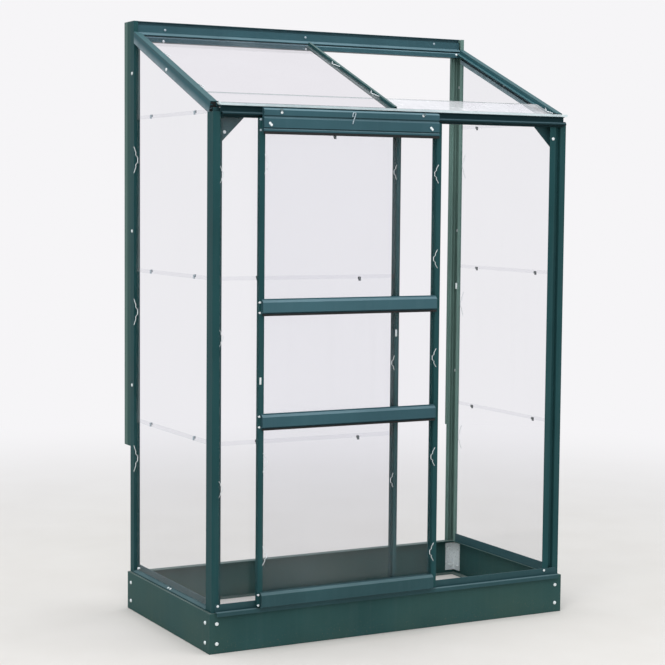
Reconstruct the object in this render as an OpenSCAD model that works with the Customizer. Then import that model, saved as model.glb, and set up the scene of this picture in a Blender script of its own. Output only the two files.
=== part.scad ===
// Small lean-to greenhouse: two glazed bays wide, one bay deep, with a
// sliding door hung on rollers. Millimetres, +Z up, the wall side at +Y.
// The origin is under the middle of the whole object, on the ground.

/* [House] */
// Width of the frame over its corner posts
frame_w = 1300; // [1100:10:1700]
// Depth of the frame from its wall side to the face of the corner posts
frame_d = 685; // [560:5:900]
// Height of the eave bar's ledge, where the roof glass starts
eave_h = 1690; // [1500:2:1800]
// Height of the ridge bar
ridge_h = 1996; // [1950:2:2200]
// Wall of the aluminium sections
wall_t = 2; // [1.6:0.2:2.4]

/* [Base] */
// Height of the base channel
base_h = 127; // [90:1:180]
// How far the base stands out past the frame at each end
base_end_out = 10; // [4:1:14]
// How far the base stands out in front of the frame
base_front_out = 5; // [4:1:8]
// Width of the base channel's flanges
base_flange = 28; // [20:1:40]
// Leg of the angle brackets inside the base's corners
bracket_leg = 40; // [30:1:60]
// Thickness of the angle brackets
bracket_t = 3; // [2:0.5:5]

/* [Posts and bars] */
// Width of the face of a corner post or gable rafter
post_face = 23; // [18:1:30]
// Depth of the side leg of a corner post
post_leg = 46; // [40:1:56]
// Depth of the side leg of a gable rafter
rafter_leg = 36; // [36:1:46]
// Width of the seat that the glass lies on
seat_w = 12; // [8:1:14]
// How far the seat lies behind the face of the post
seat_d = 13; // [11:1:16]
// Leg of the wall post along the wall
wall_post_back = 34; // [26:1:50]
// Leg of the wall post along the gable
wall_post_leg = 31; // [24:1:40]
// Width of the glass seat flange of a middle glazing bar
bar_w = 30; // [24:1:36]
// Width of the crown of a middle glazing bar
crown_w = 10; // [8:1:12]
// Height of the crown over the glass seat
crown_h = 12; // [9:0.5:12.5]
// Place of the middle rafter across the roof
rafter_x = 6; // [-40:1:40]
// Place of the middle bar across the front
front_bar_x = 0; // [-40:1:40]

/* [Bolt channels] */
// Width of the cavity that takes a bolt's head
channel_w = 11; // [10:0.5:12]
// Depth of that cavity
channel_d = 5; // [4:0.5:6]
// Slot that the bolt's shank passes
channel_slot = 6.4; // [5:0.2:7]
// Wall of the channel
channel_t = 2; // [1.5:0.5:2.5]

/* [Glass] */
// Thickness of the panes
glass_t = 3; // [3:0.5:4]
// Gap between a pane's edge and the step beside it
glass_gap = 4; // [3:0.5:6]
// Height from one lap of the panes to the next
lap_pitch = 510; // [400:5:620]
// Overlap of one pane over the next
lap = 12; // [8:1:20]
// Air between the two panes at a lap
lap_gap = 0.3; // [0.2:0.1:0.6]
// Length of the low strip pane of the roof, up the slope
strip_len = 120; // [90:1:200]

/* [Sills] */
// Height of the sill's ledge over the base
sill_ledge = 5; // [4:0.5:8]
// Height of the sill's upstand over the base, in front
sill_up = 27; // [20:1:40]
// Height of the sill's upstand over the base, at the gables
gable_sill_up = 31; // [20:1:40]
// How far the front sill's ledge reaches in front of the posts
sill_out = 17; // [15:1:17]
// Height of the front sill's hanging lip
sill_lip = 15; // [10:1:16]
// Width of the slope along the top of the lip
sill_nose = 4; // [2:0.5:4]
// Height at which the lowest panes stand over the base
glass_foot = 10; // [9:0.5:14]

/* [Eave] */
// Depth of the eave bar's ledge, from its front edge to the roof glass
eave_ledge = 34; // [30:1:40]
// Length of the flange that carries the bars' feet, up the slope
eave_seat = 40; // [34:1:50]
// Depth of the eave bar's box behind the face of the posts
eave_box_d = 25; // [20:1:27]
// How far the eave bar's right end stays short of the right post's side
eave_end_right = 12; // [0:1:20]
// Gap up the slope from the ledge to the feet of the gable rafters
gable_foot = 2; // [0:0.5:3]
// Gap up the slope from the ledge to the crown of the middle rafter
rafter_foot = 14; // [6:1:20]
// Drop from the ledge to the top of the left corner post
post_drop = 20; // [16:1:24]
// How far the eave's front edge stands out past the posts
roof_out = 7; // [5:1:9]
// Drop from the eave's front edge to the top of the track's rib
track_drop = 17; // [16:0.5:20]
// How far the track's nose stands out past the posts
nose_out = 17; // [15:1:17]
// Height of the nose
nose_h = 10; // [8:1:12]
// Height of the rib that the rollers run on
rib_h = 3; // [2:0.5:4]
// Drop from the eave's front edge to the floor of the eave bar
eave_box = 35; // [34:1:44]

/* [Ridge] */
// Drop from the top of the ridge bar to the glass, where it meets the bar
ridge_drop = 50; // [46:1:56]
// Drop from the top of the ridge bar to the foot of its face
ridge_lip = 38; // [34:0.5:40]
// Reach of the ridge bar's glass seat from the wall
ridge_reach = 40; // [36:1:48]
// Reach of its face from the wall
ridge_face = 22; // [20:1:24]
// Gap between the ridge bar and the gable rafter's side leg
ridge_end = 15; // [14.5:0.5:20]

/* [Gussets] */
// Leg of the gusset plates
gusset_leg = 133; // [100:1:180]
// Thickness of the gusset plates
gusset_t = 2; // [1.5:0.5:4]

/* [Closing boards] */
// Depth of the boards that close the gap behind the wall posts
batten_d = 55; // [30:1:80]
// Thickness of the boards
batten_w = 6; // [5:1:12]
// Height at which the boards start
batten_z = 560; // [200:5:900]

/* [Door] */
// Width of the door over its stiles
door_w = 650; // [560:2:700]
// Place of the door's left edge at rest
door_left = -504; // [-560:1:-440]
// Width of a stile's face
stile_face = 17; // [15:1:24]
// Width of a stile's seat behind the glass
stile_seat = 8; // [6:1:12]
// Depth of a stile
stile_d = 17; // [16:1:20]
// Gap between the door and the frame
door_gap = 5; // [5:0.5:8]
// Depth of the door's rails in front of the stiles
rail_d = 13; // [11:1:16]
// Stile left bare beside the rails' left ends
rail_end_left = 8; // [4:1:20]
// Stile left bare beside the rails' right ends
rail_end_right = 17; // [4:1:22]
// Height of the top rail
top_rail_h = 80; // [74:1:84]
// Drop from the ledge to the top of the top rail
top_rail_drop = 4; // [3:0.5:6]
// Height of the two middle rails
mid_rail_h = 48; // [40:1:56]
// Height of the bottom rail
foot_rail_h = 52; // [44:1:60]
// Top of the upper middle rail
mid_rail_top = 1100; // [1000:1:1200]
// Top of the lower middle rail
low_rail_top = 744; // [600:1:860]
// Top of the bottom rail
foot_rail_top = 183; // [176:1:190]
// Width of the sloping lip along the top of a rail's face
rail_lip = 7; // [4:0.5:8]
// Fin of the rail's back that shows over and under its face
rail_fin = 5; // [3:0.5:6]
// Depth of the grooves in the top rail's face
groove_d = 3.5; // [2:0.5:4]

/* [Rollers] */
// Radius of a roller in its groove
roller_r = 6; // [5.5:0.5:8]
// Height of the roller's flanges over its groove
roller_rim = 2; // [1.5:0.5:2.5]
// Width of a roller
roller_w = 7; // [6:0.5:8]
// Radius of a roller's axle
axle_r = 3; // [2.5:0.5:4]
// Clearance of the axle in the rail
axle_fit = 0.2; // [0.1:0.1:0.5]
// Running clearance between roller and rib
run_gap = 0.3; // [0.2:0.1:0.5]
// Place of each roller in from the rails' ends
roller_in = 58; // [40:1:90]
// Width of the glides under the stiles
glide_w = 6; // [5:0.5:7]

/* [Hidden] */

paint = [0.24, 0.35, 0.37];
paint_light = [0.45, 0.55, 0.56];
glass_tint = [0.75, 0.85, 0.84, 0.35];
timber = [0.36, 0.45, 0.43];
zinc = [0.75, 0.76, 0.78];
nylon = [0.15, 0.15, 0.15];

half_w = frame_w / 2;
base_half = half_w + base_end_out;
post_y = -frame_d;
base_y = post_y - base_front_out;
seat_y = post_y + seat_d;
seat_x = half_w - seat_d;
pane_x = half_w - post_face - glass_gap;
pane_y0 = post_y + post_leg + glass_gap;
pane_y1 = -wall_post_leg - glass_gap;
glass_z = base_h + glass_foot;
leg_seat_y = post_y + post_leg;

// The roof glass lies on a plane that starts at the back of the ledge and
// meets the ridge bar under its drip lip.
roof_y = post_y - roof_out;
plane_y = roof_y + eave_ledge;
drip_y = -ridge_face - 8;
pitch = atan((ridge_h - ridge_drop - eave_h) / (drip_y - plane_y));
function seat_z(y) = eave_h + (y - plane_y) * tan(pitch);
eave_in_y = post_y + eave_box_d;
eave_floor_z = eave_h - eave_box;
eave_x1 = half_w - eave_end_right;
seat_half = half_w - post_face - seat_w;
rib_z = eave_h - track_drop;
track_z = rib_z - rib_h;
nose_y = post_y - nose_out;
rib_y = nose_y + 5;
rafter_low = rafter_leg - seat_d;
post_top = eave_h - post_drop;
ridge_low_z = seat_z(-ridge_reach) - 14;

door_back_y = post_y - wall_t - 3;
stile_y = door_back_y - stile_d;
rail_y = stile_y - rail_d;
stile_z0 = base_h + glass_foot;
stile_z1 = track_z - nose_h - door_gap;
door_glass_y = door_back_y - wall_t - glass_t;
rail_x0 = door_left + rail_end_left;
rail_len = door_w - rail_end_left - rail_end_right;
top_rail_z = eave_h - top_rail_drop - top_rail_h;
roller_z = rib_z + roller_r + run_gap;
wall_post_channel = wall_post_back - channel_w / 2 - 3 * wall_t - 1.5;
jamb_w = 23;
jamb_step = 7;
// Longer than any cut needs, and wider than any bar
over = 700;
wide = 60;
axle_head_t = 4;
axle_head_r = 5;
front_reach = -rail_y + axle_head_t;
y_shift = (front_reach - batten_d) / 2;

// Everything is drawn with y = 0 at the wall side of the frame and is
// moved so that the origin is under the middle of the whole object.
module place() { translate([0, y_shift, 0]) children(); }

// Extrude a section drawn in (y, z) along x, from x0 to x1.
module along_x(x0, x1) {
    translate([x0, 0, 0]) rotate([90, 0, 90]) linear_extrude(x1 - x0) children();
}

// Extrude a section drawn in (x, z) along y, from y0 to y1.
module along_y(y0, y1) {
    translate([0, y1, 0]) rotate([90, 0, 0]) linear_extrude(y1 - y0) children();
}

// Work on the roof: y runs up the slope from the back of the eave's ledge
// and z stands square to the glass, with z = 0 where the glass lies.
module on_roof() { translate([0, plane_y, eave_h]) rotate([pitch, 0, 0]) children(); }

// Mirror a left-hand piece to the right end of the house.
module right_hand() { mirror([1, 0, 0]) children(); }

// ---- sections -------------------------------------------------------------

// Bolt channel that opens towards +x, with its back on the y axis.
module bolt_channel() {
    half = channel_w / 2;
    for (side = [-1, 1]) scale([1, side]) {
        translate([0, half]) square([channel_d + channel_t, channel_t]);
        translate([channel_d, channel_slot / 2])
            square([channel_t, half + channel_t - channel_slot / 2]);
    }
}

// Angle with its outer corner at the origin: a face along x, a leg along y,
// and a sunk seat for the glass at the end of each.
module post_section(leg) {
    nose_r = 2.5;
    translate([nose_r, 0]) square([post_face - nose_r, wall_t]);
    translate([0, nose_r]) square([wall_t, leg - nose_r]);
    difference() {
        translate([nose_r, nose_r]) circle(nose_r, $fn = 32);
        translate([wall_t, wall_t]) square(nose_r * 2);
    }
    translate([post_face - wall_t, 0]) square([wall_t, seat_d + wall_t]);
    translate([post_face - wall_t, seat_d]) square([wall_t + seat_w, wall_t]);
    translate([0, leg - wall_t]) square([seat_d + wall_t, wall_t]);
    translate([wall_t, leg / 2]) bolt_channel();
}

// The leg's glass seat of the same angle, drawn apart so that it can be
// cut shorter than the rest.
module leg_seat_section(leg) {
    translate([seat_d, leg - wall_t]) square([wall_t, wall_t + seat_w]);
}

// Angle at the wall, with its outer corner at the origin.
module wall_post_section() {
    square([wall_post_back, wall_t]);
    square([wall_t, wall_post_leg]);
    translate([0, wall_post_leg - wall_t]) square([seat_d + wall_t, wall_t]);
}

// Middle glazing bar: the glass lies on its flange at y = 0, on both sides
// of the hollow crown, and a bolt channel opens inwards.
module bar_flange() { translate([-bar_w / 2, -wall_t]) square([bar_w, wall_t]); }

module bar_crown() {
    difference() {
        translate([-crown_w / 2, 0]) square([crown_w, crown_h]);
        translate([-crown_w / 2 + wall_t, 0]) square([crown_w - 2 * wall_t, crown_h - wall_t]);
    }
}

module bar_channel() { translate([0, -wall_t]) rotate(-90) bolt_channel(); }

// ---- base -----------------------------------------------------------------

// C channel with its web at x = 0 and its flanges towards +x.
module channel_section() {
    square([wall_t, base_h]);
    for (z = [0, base_h - wall_t]) translate([wall_t, z]) square([base_flange - wall_t, wall_t]);
}

module base_long(y0, turn) {
    color(paint) place() difference() {
        along_x(-base_half, base_half) translate([y0, 0]) scale([turn, 1]) channel_section();
        for (side = [-1, 1])
            translate([side * base_half - wall_t, y0 + turn * wall_t - (turn < 0 ? base_flange : 0), -1])
                cube([2 * wall_t, base_flange, base_h + 2]);
    }
}

module base_front() { base_long(base_y, 1); }

module base_back() { base_long(0, -1); }

module base_left() {
    color(paint) place() {
        along_y(base_y + wall_t, -wall_t) translate([-base_half, 0]) square([wall_t, base_h]);
        along_y(base_y + base_flange, -base_flange)
            translate([-base_half, 0]) channel_section();
    }
}

module base_right() { right_hand() base_left(); }

module base_brackets() {
    h = base_h - 2 * wall_t - 20;
    color(zinc) place() for (side = [-1, 1], end = [0, 1])
        translate([side * (base_half - wall_t), end ? -wall_t : base_y + wall_t, wall_t + 10])
            mirror([side > 0 ? 1 : 0, 0, 0]) mirror([0, end, 0]) linear_extrude(h) {
                square([bracket_leg, bracket_t]);
                square([bracket_t, bracket_leg]);
            }
}

// ---- sills ----------------------------------------------------------------

module sill_front() {
    ledge_z = base_h + sill_ledge - wall_t;
    lip_z = ledge_z + wall_t + 1;
    out_y = post_y - sill_out;
    long_half = half_w - base_end_out;
    color(paint) place() {
        along_x(-long_half, long_half) {
            translate([post_y - wall_t, base_h]) square([wall_t, sill_up]);
            translate([post_y - base_front_out, base_h]) square([base_front_out, wall_t]);
            translate([out_y, ledge_z - wall_t]) square([sill_out, wall_t]);
            polygon([
                [out_y, lip_z - sill_lip], [out_y + wall_t, lip_z - sill_lip],
                [out_y + wall_t, lip_z - sill_nose - 1], [out_y + sill_nose + 1, lip_z - wall_t],
                [out_y + sill_nose + 1, lip_z], [out_y + sill_nose, lip_z], [out_y, lip_z - sill_nose]
            ]);
        }
        along_x(-seat_half, seat_half) {
            translate([post_y - wall_t, base_h]) square([wall_t + base_flange - base_front_out, wall_t]);
            translate([seat_y, base_h]) square([wall_t, sill_up - 4]);
            translate([seat_y - 6, base_h]) difference() {
                square([6 + wall_t, glass_foot]);
                translate([wall_t, wall_t]) square([6 - wall_t, glass_foot - 2 * wall_t]);
            }
        }
    }
}

module sill_left() {
    y0 = leg_seat_y;
    y1 = -wall_post_leg;
    out = half_w + 2;
    color(paint) place() {
        along_y(y0, y1) difference() {
            polygon([
                [-out, base_h], [-out, base_h + sill_ledge],
                [-seat_x, base_h + glass_foot], [-seat_x, base_h]
            ]);
            polygon([
                [-out + wall_t, base_h + wall_t], [-out + wall_t, base_h + sill_ledge - wall_t + 1],
                [-seat_x - wall_t, base_h + glass_foot - wall_t],
                [-seat_x - wall_t, base_h + wall_t]
            ]);
        }
        along_y(y0 + seat_w, y1 - seat_w)
            translate([-seat_x, base_h]) square([wall_t, gable_sill_up]);
    }
}

module sill_right() { right_hand() sill_left(); }

// ---- posts ----------------------------------------------------------------

module corner_post_left() {
    color(paint) place() translate([-half_w, post_y, base_h]) linear_extrude(post_top - base_h) {
        post_section(post_leg);
        leg_seat_section(post_leg);
    }
}

// The right post is notched for the end of the eave bar that runs over it.
module corner_post_right() {
    color(paint) difference() {
        right_hand() corner_post_left();
        place() translate([seat_half - 1, post_y - 1, eave_floor_z])
            cube([eave_x1 - seat_half + 1.5, eave_box_d + 1, over]);
    }
}

// Strip beside the right post that the closed door lies against: a face, a
// return, and a foot that is screwed to the post's seat.
module door_jamb() {
    return_x = -jamb_step - wall_t;
    color(paint) place() translate([seat_half, 0, base_h + sill_up])
        linear_extrude(eave_floor_z - base_h - sill_up) {
            translate([return_x + wall_t - jamb_w, post_y]) square([jamb_w, wall_t]);
            translate([return_x, post_y]) square([wall_t, seat_d]);
            translate([return_x, seat_y - wall_t]) square([jamb_step + seat_w - 1, wall_t]);
        }
}

module wall_post_left() {
    seat_top = seat_z(-wall_post_leg - seat_w) - (rafter_low + seat_w) / cos(pitch) - 1;
    color(paint) place() translate([-half_w, 0, base_h]) mirror([0, 1, 0]) {
        linear_extrude(ridge_h - base_h) wall_post_section();
        linear_extrude(ridge_low_z - base_h)
            translate([wall_post_channel, wall_t]) rotate(90) bolt_channel();
        linear_extrude(seat_top - base_h)
            translate([seat_d, wall_post_leg - wall_t]) square([wall_t, wall_t + seat_w]);
    }
}

module wall_post_right() { right_hand() wall_post_left(); }

module batten_left() {
    color(timber) place() translate([-half_w, 0, batten_z])
        cube([batten_w, batten_d, ridge_h - batten_z]);
}

module batten_right() { right_hand() batten_left(); }

// The front bar stands on the sill's upstand, under the floor of the eave.
module front_bar() {
    z0 = base_h + sill_up - 4;
    color(paint) place() translate([front_bar_x, seat_y, z0])
        linear_extrude(eave_floor_z - z0) mirror([0, 1]) {
            bar_flange();
            bar_crown();
            bar_channel();
        }
}

// ---- roof frame -----------------------------------------------------------

module eave_bar() {
    nose_b = track_z - nose_h;
    flange_half = half_w - post_face;
    color(paint) place() {
        along_x(-flange_half, eave_x1) {
            // ledge and outer wall
            translate([roof_y, eave_h - wall_t]) square([eave_ledge, wall_t]);
            translate([post_y, eave_floor_z]) square([wall_t, eave_box]);
            // hollow nose with the rib that the rollers run on
            difference() {
                polygon([
                    [post_y, track_z], [nose_y + 3, track_z], [nose_y, track_z - 3],
                    [nose_y, nose_b + 3], [nose_y + 3, nose_b], [post_y, nose_b]
                ]);
                polygon([
                    [post_y, track_z - wall_t], [nose_y + 4, track_z - wall_t],
                    [nose_y + wall_t, track_z - 4], [nose_y + wall_t, nose_b + 4],
                    [nose_y + 4, nose_b + wall_t], [post_y, nose_b + wall_t]
                ]);
            }
            translate([rib_y - 1, track_z - wall_t / 2]) square([wall_t, rib_h + wall_t / 2]);
        }
        // floor and inner wall of the box, between the posts' seats
        along_x(-seat_half, seat_half) {
            translate([post_y, eave_floor_z]) square([eave_box_d, wall_t]);
            translate([eave_in_y - wall_t, eave_floor_z]) square([wall_t, eave_box - wall_t / 2]);
        }
        // flange under the feet of the bars
        along_x(-flange_half, flange_half)
            translate([plane_y, eave_h]) rotate(pitch)
                translate([-4, -2 * wall_t]) square([eave_seat + 4, wall_t]);
    }
}

module ridge_bar() {
    half = half_w - ridge_end;
    seat_t = wall_t / cos(pitch);
    web_y = -16;
    lip_z = ridge_h - ridge_lip;
    face_h = 26;
    low_z = ridge_low_z;
    color(paint) place() along_x(-half, half) {
        // top flange and the wall that stands against the posts
        translate([-ridge_face - 4, ridge_h - wall_t]) square([ridge_face + 4 - wall_t, wall_t]);
        translate([-2 * wall_t, low_z]) square([wall_t, ridge_h - low_z]);
        // main web, sunk under the top flange
        translate([web_y, low_z]) square([wall_t, ridge_h - low_z]);
        // face with its drip lip over the glass
        difference() {
            translate([-ridge_face, lip_z]) square([ridge_face + web_y + wall_t, face_h]);
            translate([-ridge_face + wall_t, lip_z + wall_t])
                square([ridge_face + web_y - wall_t, face_h - 2 * wall_t]);
        }
        polygon([
            [-ridge_face + 1, lip_z + 3], [-ridge_face - 10, lip_z - 6],
            [-ridge_face - 10, lip_z - 8.5], [-ridge_face + 1, lip_z]
        ]);
        // seat for the top edge of the roof glass, its nose and the floor
        polygon([
            [-ridge_reach, seat_z(-ridge_reach) - seat_t], [web_y + 1, seat_z(web_y + 1) - seat_t],
            [web_y + 1, seat_z(web_y + 1)], [-ridge_reach, seat_z(-ridge_reach)]
        ]);
        translate([-ridge_reach, low_z]) square([wall_t, 14 - seat_t / 2]);
        translate([-ridge_reach, low_z]) square([ridge_reach - wall_t, wall_t]);
    }
}

// Gable rafter: the corner post's section with a shorter leg, its foot cut
// flat on the post and its head cut upright at the wall post and the ridge.
module rafter_left() {
    top = -plane_y / cos(pitch) + wide;
    seat_from = (leg_seat_y + seat_w - plane_y) / cos(pitch);
    color(paint) place() difference() {
        union() {
            on_roof() along_y(gable_foot, top)
                translate([-half_w, seat_d]) mirror([0, 1]) post_section(rafter_leg);
            on_roof() along_y(seat_from, top)
                translate([-half_w, seat_d]) mirror([0, 1]) leg_seat_section(rafter_leg);
        }
        translate([-half_w - 1, roof_y, post_top - over]) cube([wide, leg_seat_y + seat_w - roof_y, over]);
        translate([-half_w - 1, -wall_post_leg, eave_h]) cube([wide, over, over]);
        translate([-(half_w - ridge_end + 0.5), -ridge_reach, eave_h]) cube([wide, over, over]);
    }
}

module rafter_right() { right_hand() rafter_left(); }

// Middle rafter: its flange starts at the ledge, its crown a little higher
// and its bolt channel behind the eave bar's flange.
module rafter_middle() {
    top = -plane_y / cos(pitch) + wide;
    color(paint) place() difference() {
        on_roof() translate([rafter_x, 0]) {
            along_y(0, top) bar_flange();
            along_y(rafter_foot, top) bar_crown();
            along_y(eave_seat + 1, top) bar_channel();
        }
        translate([rafter_x - wide / 2, -ridge_reach, eave_h]) cube([wide, over, over]);
    }
}

// Triangular plate behind each end of the eave bar.
module gusset_left() {
    x0 = -half_w + wall_t + channel_d + channel_t;
    z1 = eave_h - 3 * wall_t;
    color(paint) place() translate([0, eave_in_y + gusset_t, 0]) rotate([90, 0, 0])
        linear_extrude(gusset_t)
            polygon([[x0, z1], [x0 + gusset_leg, z1], [x0, z1 - gusset_leg]]);
}

module gusset_right() { right_hand() gusset_left(); }

// ---- glass ----------------------------------------------------------------

lap_tilt = asin((glass_t + lap_gap) / (lap_pitch + lap));

// Lapped panes of one gable, each with its foot outside the one below.
module gable_glass_left() {
    roof_edge = (rafter_low + glass_gap) / cos(pitch);
    color(glass_tint) place() for (i = [0 : 3]) {
        z0 = glass_z + i * lap_pitch;
        tilt = i == 0 ? 0 : lap_tilt;
        foot = i == 0 ? 0 : glass_t + lap_gap;
        if (z0 < seat_z(pane_y1) - roof_edge)
            translate([-seat_x - foot, 0, z0]) rotate([0, tilt, 0]) translate([-glass_t, 0, 0])
                rotate([90, 0, 90]) linear_extrude(glass_t) intersection() {
                    translate([pane_y0, 0]) square([pane_y1 - pane_y0, lap_pitch + lap]);
                    polygon([
                        [pane_y0, -lap_pitch], [pane_y1, -lap_pitch],
                        [pane_y1, seat_z(pane_y1) - roof_edge - z0],
                        [pane_y0, seat_z(pane_y0) - roof_edge - z0]
                    ]);
                }
    }
}

module gable_glass_right() { right_hand() gable_glass_left(); }

// Lapped panes of the fixed left bay in front.
module front_glass() {
    x1 = front_bar_x - crown_w / 2 - 1;
    count = ceil((eave_floor_z - glass_z) / lap_pitch);
    color(glass_tint) place() for (i = [0 : count - 1]) {
        z0 = glass_z + i * lap_pitch;
        tilt = i == 0 ? 0 : lap_tilt;
        foot = i == 0 ? 0 : glass_t + lap_gap;
        h = min(lap_pitch + lap, eave_floor_z - 1 - z0);
        translate([-pane_x, seat_y - foot, z0]) rotate([-tilt, 0, 0]) translate([0, -glass_t, 0])
            cube([x1 + pane_x, glass_t, h]);
    }
}

// Low strip pane between x0 and x1 on the roof.
module strip_pane(x0, x1) {
    on_roof() translate([x0, 0.3, 0]) cube([x1 - x0, strip_len, glass_t]);
}

module roof_glass_left() {
    x1 = rafter_x - crown_w / 2 - 1;
    s0 = strip_len - lap;
    s1 = (-17 - plane_y) / cos(pitch);
    tilt = asin((glass_t + lap_gap) / (s1 - s0));
    color(glass_tint) place() {
        strip_pane(-pane_x, x1);
        on_roof() translate([-pane_x, s0, glass_t + lap_gap]) rotate([-tilt, 0, 0])
            cube([x1 + pane_x, s1 - s0, glass_t]);
    }
}

module roof_glass_right() {
    color(glass_tint) place() strip_pane(rafter_x + crown_w / 2 + 1, pane_x);
}

// ---- sliding door ---------------------------------------------------------

// Outline in (y, z) of the box in front of a rail's back, from z0 to z1: a
// face with a sloping lip along its top, and V grooves [top, height] across.
module rail_box(z0, z1, lip, grooves) {
    back = rail_d - wall_t;
    difference() {
        polygon([[back, z0], [1, z0], [0, z0 + 1], [0, z1 - lip], [lip, z1], [back, z1]]);
        for (g = grooves) translate([0, g[0]])
            polygon([[0, 0], [groove_d, -0.4 * g[1]], [0, -g[1]], [-1, -g[1]], [-1, 0]]);
    }
}

// Section of a rail in (y, z): a flat back with a hollow box in front of it.
module rail_section(h, z0, z1, lip, grooves = []) {
    translate([rail_d - wall_t, 0]) square([wall_t, h]);
    difference() {
        rail_box(z0, z1, lip, grooves);
        intersection() {
            translate([wall_t, 0]) rail_box(z0, z1, lip, grooves);
            translate([0, z0 + wall_t]) square([rail_d - wall_t, z1 - z0 - 2 * wall_t]);
        }
    }
}

// Channels behind a rail that hold the panes' edges, around height z.
module pane_channel(z, up, down) {
    fin = 10;
    seat = stile_face + stile_seat + 0.5;
    along_x(door_left + stile_face, door_left + door_w - stile_face)
        translate([stile_y, z - wall_t / 2]) square([stile_d - wall_t, wall_t]);
    along_x(door_left + seat, door_left + door_w - seat) {
        translate([door_back_y - wall_t, z - wall_t / 2]) square([wall_t, wall_t]);
        if (up) translate([door_back_y - wall_t, z]) square([wall_t, fin]);
        if (down) translate([door_back_y - wall_t, z - fin]) square([wall_t, fin]);
    }
}

module rail(z0) { along_x(rail_x0, rail_x0 + rail_len) translate([rail_y, z0]) children(); }

foot_rail_z = foot_rail_top - foot_rail_h;
mid_rail_z = mid_rail_top - mid_rail_h;
low_rail_z = low_rail_top - mid_rail_h;
top_channel_z = top_rail_z + 12;
foot_channel_z = foot_rail_top - 12;
roller_x = [rail_x0 + roller_in, rail_x0 + rail_len - roller_in];
// The top rail's lip, and how far down its face each groove starts and how
// high it is.
top_lip = 5;
high_groove_drop = 23;
high_groove_h = 10;
low_groove_drop = 61;
low_groove_h = 6;

module door_top_rail() {
    h = top_rail_h;
    grooves = [[h - high_groove_drop, high_groove_h], [h - low_groove_drop, low_groove_h]];
    color(paint_light) place() {
        difference() {
            rail(top_rail_z) rail_section(h, rail_fin + 2, h - 2, top_lip, grooves);
            for (x = roller_x) translate([x, rail_y - 5, roller_z]) rotate([-90, 0, 0])
                cylinder(h = rail_d + 10, r = axle_r + axle_fit, $fn = 32);
        }
        pane_channel(top_channel_z, false, true);
    }
}

module door_middle_rail() {
    color(paint_light) place() {
        rail(mid_rail_z) rail_section(mid_rail_h, rail_fin, mid_rail_h - rail_fin + 1, rail_lip);
        pane_channel(mid_rail_z + mid_rail_h / 2, true, true);
    }
}

module door_lower_rail() {
    color(paint_light) place() {
        rail(low_rail_z) rail_section(mid_rail_h, rail_fin, mid_rail_h - rail_fin + 1, rail_lip);
        pane_channel(low_rail_z + mid_rail_h / 2, true, true);
    }
}

module door_bottom_rail() {
    color(paint_light) place() {
        rail(foot_rail_z) rail_section(foot_rail_h, rail_fin, foot_rail_h - 2, rail_lip);
        pane_channel(foot_channel_z, true, false);
    }
}

// Stile with its outer front corner at the origin: a face, two walls and a
// seat behind the glass.
module stile_section() {
    square([stile_face, wall_t]);
    square([wall_t, stile_d]);
    translate([stile_face - wall_t, 0]) square([wall_t, stile_d]);
    translate([0, stile_d - wall_t]) square([stile_face + stile_seat, wall_t]);
}

module stile() { linear_extrude(stile_z1 - stile_z0) stile_section(); }

module door_stile_left() {
    color(paint) place() translate([door_left, stile_y, stile_z0]) stile();
}

module door_stile_right() {
    color(paint) place() translate([door_left + door_w, stile_y, stile_z0]) mirror([1, 0, 0]) stile();
}

module door_glass() {
    x0 = door_left + stile_face + stile_seat / 4;
    w = door_w - 2 * stile_face - stile_seat / 2;
    edge = wall_t / 2 + 0.3;
    levels = [foot_channel_z, low_rail_z + mid_rail_h / 2, mid_rail_z + mid_rail_h / 2, top_channel_z];
    color(glass_tint) place() for (i = [0 : len(levels) - 2])
        translate([x0, door_glass_y, levels[i] + edge])
            cube([w, glass_t, levels[i + 1] - levels[i] - 2 * edge]);
}

// Grooved roller on its axle bolt, turned about the y axis.
module door_rollers() {
    y0 = rail_y - axle_head_t;
    groove_y = rib_y - y0;
    color(zinc) place() for (x = roller_x) translate([x, y0, roller_z]) rotate([-90, 0, 0]) {
        cylinder(h = axle_head_t, r = axle_head_r, $fn = 6);
        cylinder(h = groove_y + roller_w / 2, r = axle_r, $fn = 32);
        translate([0, 0, axle_head_t + rail_d])
            cylinder(h = groove_y - roller_w / 2 - axle_head_t - rail_d, r = axle_r + 1.5, $fn = 32);
        rotate_extrude($fn = 48) polygon([
            [0, groove_y - roller_w / 2], [roller_r + roller_rim, groove_y - roller_w / 2],
            [roller_r + roller_rim, groove_y - 2.2], [roller_r, groove_y - 1.3],
            [roller_r, groove_y + 1.3], [roller_r + roller_rim, groove_y + 2.2],
            [roller_r + roller_rim, groove_y + roller_w / 2], [0, groove_y + roller_w / 2]
        ]);
    }
}

// Glides under the stiles that keep the door's foot in the sill.
module door_glides() {
    z0 = base_h + sill_ledge - wall_t + run_gap;
    color(nylon) place() for (x = [door_left + 4, door_left + door_w - 20])
        translate([x, stile_y + stile_d - glide_w, z0]) cube([16, glide_w, stile_z0 - z0]);
}

// ---- drawing --------------------------------------------------------------

base_front();
base_back();
base_left();
base_right();
base_brackets();
sill_front();
sill_left();
sill_right();
corner_post_left();
corner_post_right();
door_jamb();
wall_post_left();
wall_post_right();
batten_left();
batten_right();
front_bar();
eave_bar();
ridge_bar();
rafter_left();
rafter_middle();
rafter_right();
gusset_left();
gusset_right();
gable_glass_left();
gable_glass_right();
front_glass();
roof_glass_left();
roof_glass_right();
door_top_rail();
door_middle_rail();
door_lower_rail();
door_bottom_rail();
door_stile_left();
door_stile_right();
door_glass();
door_rollers();
door_glides();
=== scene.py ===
# %% [markdown]
# # A lean-to greenhouse, dressed for its picture
#
# The metalwork and the glass of the house are already built to size in a CAD
# program. Here they are loaded as a fixed frame, and everything that makes
# them look real is added around them: the paint, the glass, the bolts and
# clips, the clear strip at the eave, the lamps and the camera.

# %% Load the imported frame
import math

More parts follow.
